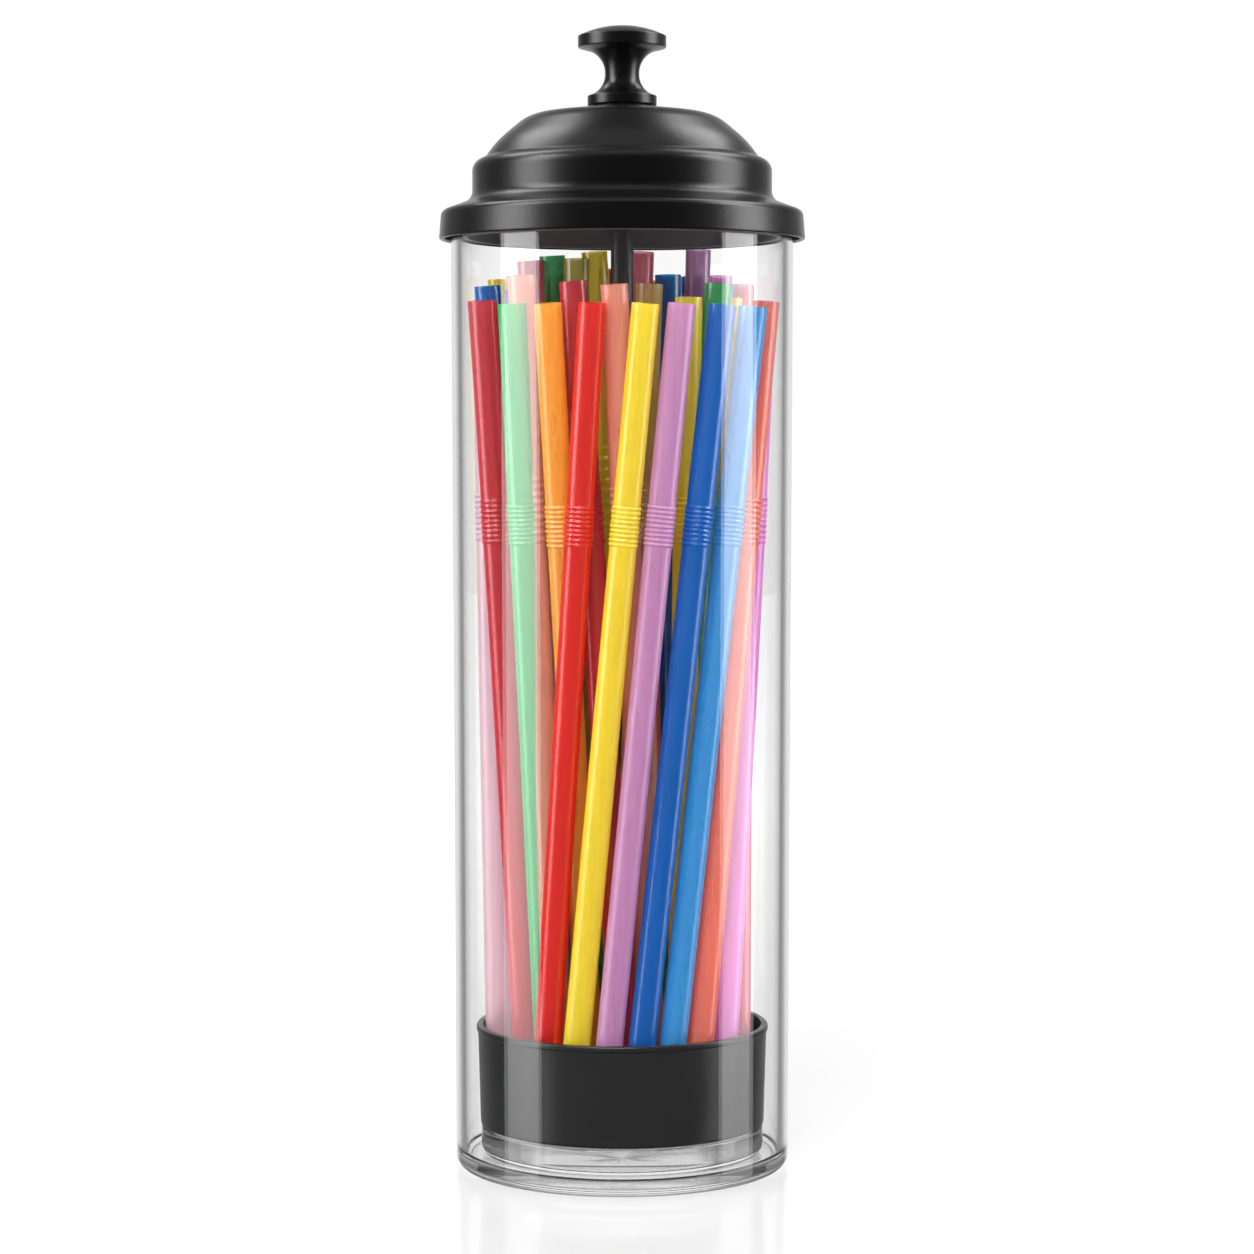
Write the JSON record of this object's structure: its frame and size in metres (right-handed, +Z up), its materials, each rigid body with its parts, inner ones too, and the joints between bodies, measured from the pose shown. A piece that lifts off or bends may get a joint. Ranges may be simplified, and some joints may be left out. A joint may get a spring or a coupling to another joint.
{
  "type": "drinking straw dispenser",
  "caption": "Clear cylindrical drinking-straw dispenser with a stepped black lid and knob; the lid lifts a rod, a cup and the straws standing in it out of the jar.",
  "frame": {"origin": "centre of the jar's underside, on the surface that it stands on", "axes": "+Z up along the jar's axis, -Y to the front as pictured, +X to the right"},
  "size_m": [0.09, 0.09, 0.2817],
  "materials": {
    "clear_acrylic": "clear moulded acrylic, polished",
    "black_plastic": "black moulded plastic, satin",
    "black_powder_coat": "black coating on spun and turned metal, satin",
    "dark_rod_finish": "blackened metal, smooth satin",
    "zinc_steel": "zinc-plated steel",
    "straw_blue": "thin extruded plastic, translucent blue",
    "straw_crimson": "thin extruded plastic, translucent crimson",
    "straw_lilac": "thin extruded plastic, translucent lilac",
    "straw_mint": "thin extruded plastic, translucent mint",
    "straw_orange": "thin extruded plastic, translucent orange",
    "straw_pink": "thin extruded plastic, translucent pink",
    "straw_red": "thin extruded plastic, translucent red",
    "straw_rose": "thin extruded plastic, translucent rose",
    "straw_salmon": "thin extruded plastic, translucent salmon",
    "straw_sky": "thin extruded plastic, translucent sky",
    "straw_yellow": "thin extruded plastic, translucent yellow"
  },
  "bodies": {
    "jar": {"jar": "clear_acrylic", "clear_riser": "clear_acrylic"},
    "ring": {"lid_ring": "black_plastic"},
    "lid": {"lid_shell": "black_powder_coat", "knob": "black_powder_coat", "knob_washer": "dark_rod_finish", "lid_washer": "zinc_steel", "lid_nut": "zinc_steel", "rod": "dark_rod_finish", "cup": "black_plastic", "cup_washer": "zinc_steel", "cup_screw": "zinc_steel", "straw_01_blue": "straw_blue", "straw_02_crimson": "straw_crimson", "straw_03_mint": "straw_mint", "straw_04_orange": "straw_orange", "straw_05_red": "straw_red", "straw_06_yellow": "straw_yellow", "straw_07_lilac": "straw_lilac", "straw_08_blue": "straw_blue", "straw_09_sky": "straw_sky", "straw_10_salmon": "straw_salmon", "straw_11_pink": "straw_pink", "straw_12_rose": "straw_rose", "straw_13_pink": "straw_pink", "straw_14_blue": "straw_blue", "straw_15_orange": "straw_orange", "straw_16_mint": "straw_mint", "straw_17_red": "straw_red", "straw_18_rose": "straw_rose", "straw_19_salmon": "straw_salmon", "straw_20_yellow": "straw_yellow", "straw_21_lilac": "straw_lilac"}
  },
  "joints": [
    {"name": "lift", "type": "slide", "parent": "jar", "child": "ring", "axis": [0, 0, 1], "range_m": [0, 0.25]},
    {"name": "turn", "type": "hinge", "parent": "ring", "child": "lid", "pos_m": [0, 0, 0.2345], "axis": [0, 0, 1], "continuous": true}
  ]
}
